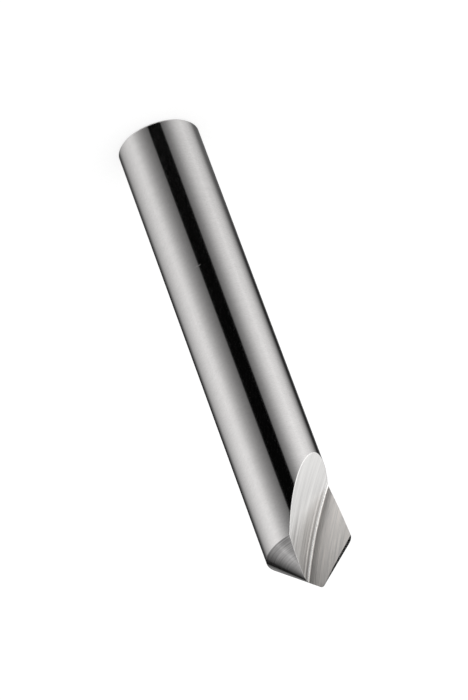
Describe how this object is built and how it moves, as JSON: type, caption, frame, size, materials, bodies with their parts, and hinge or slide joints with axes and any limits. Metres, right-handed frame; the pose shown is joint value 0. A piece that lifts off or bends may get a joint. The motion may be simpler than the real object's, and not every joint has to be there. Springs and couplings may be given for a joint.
{
  "type": "countersink",
  "caption": "Single-flute countersink with a straight shank: a ground carbide rod with a right-angled conical point and one open flute.",
  "frame": {"origin": "middle of the flat rear face, which the tool stands on", "axes": "+Z along the shank's axis towards the cutting point; the cutting edge lies in the XZ plane on the -X side; the flute is open towards -Y"},
  "size_m": [0.012, 0.012, 0.074],
  "materials": {
    "ground_carbide": "bright ground tungsten carbide: polished round shank, fine grinding lines on the point and in the flute"
  },
  "bodies": {
    "root": {"countersink": "ground_carbide"}
  },
  "joints": []
}
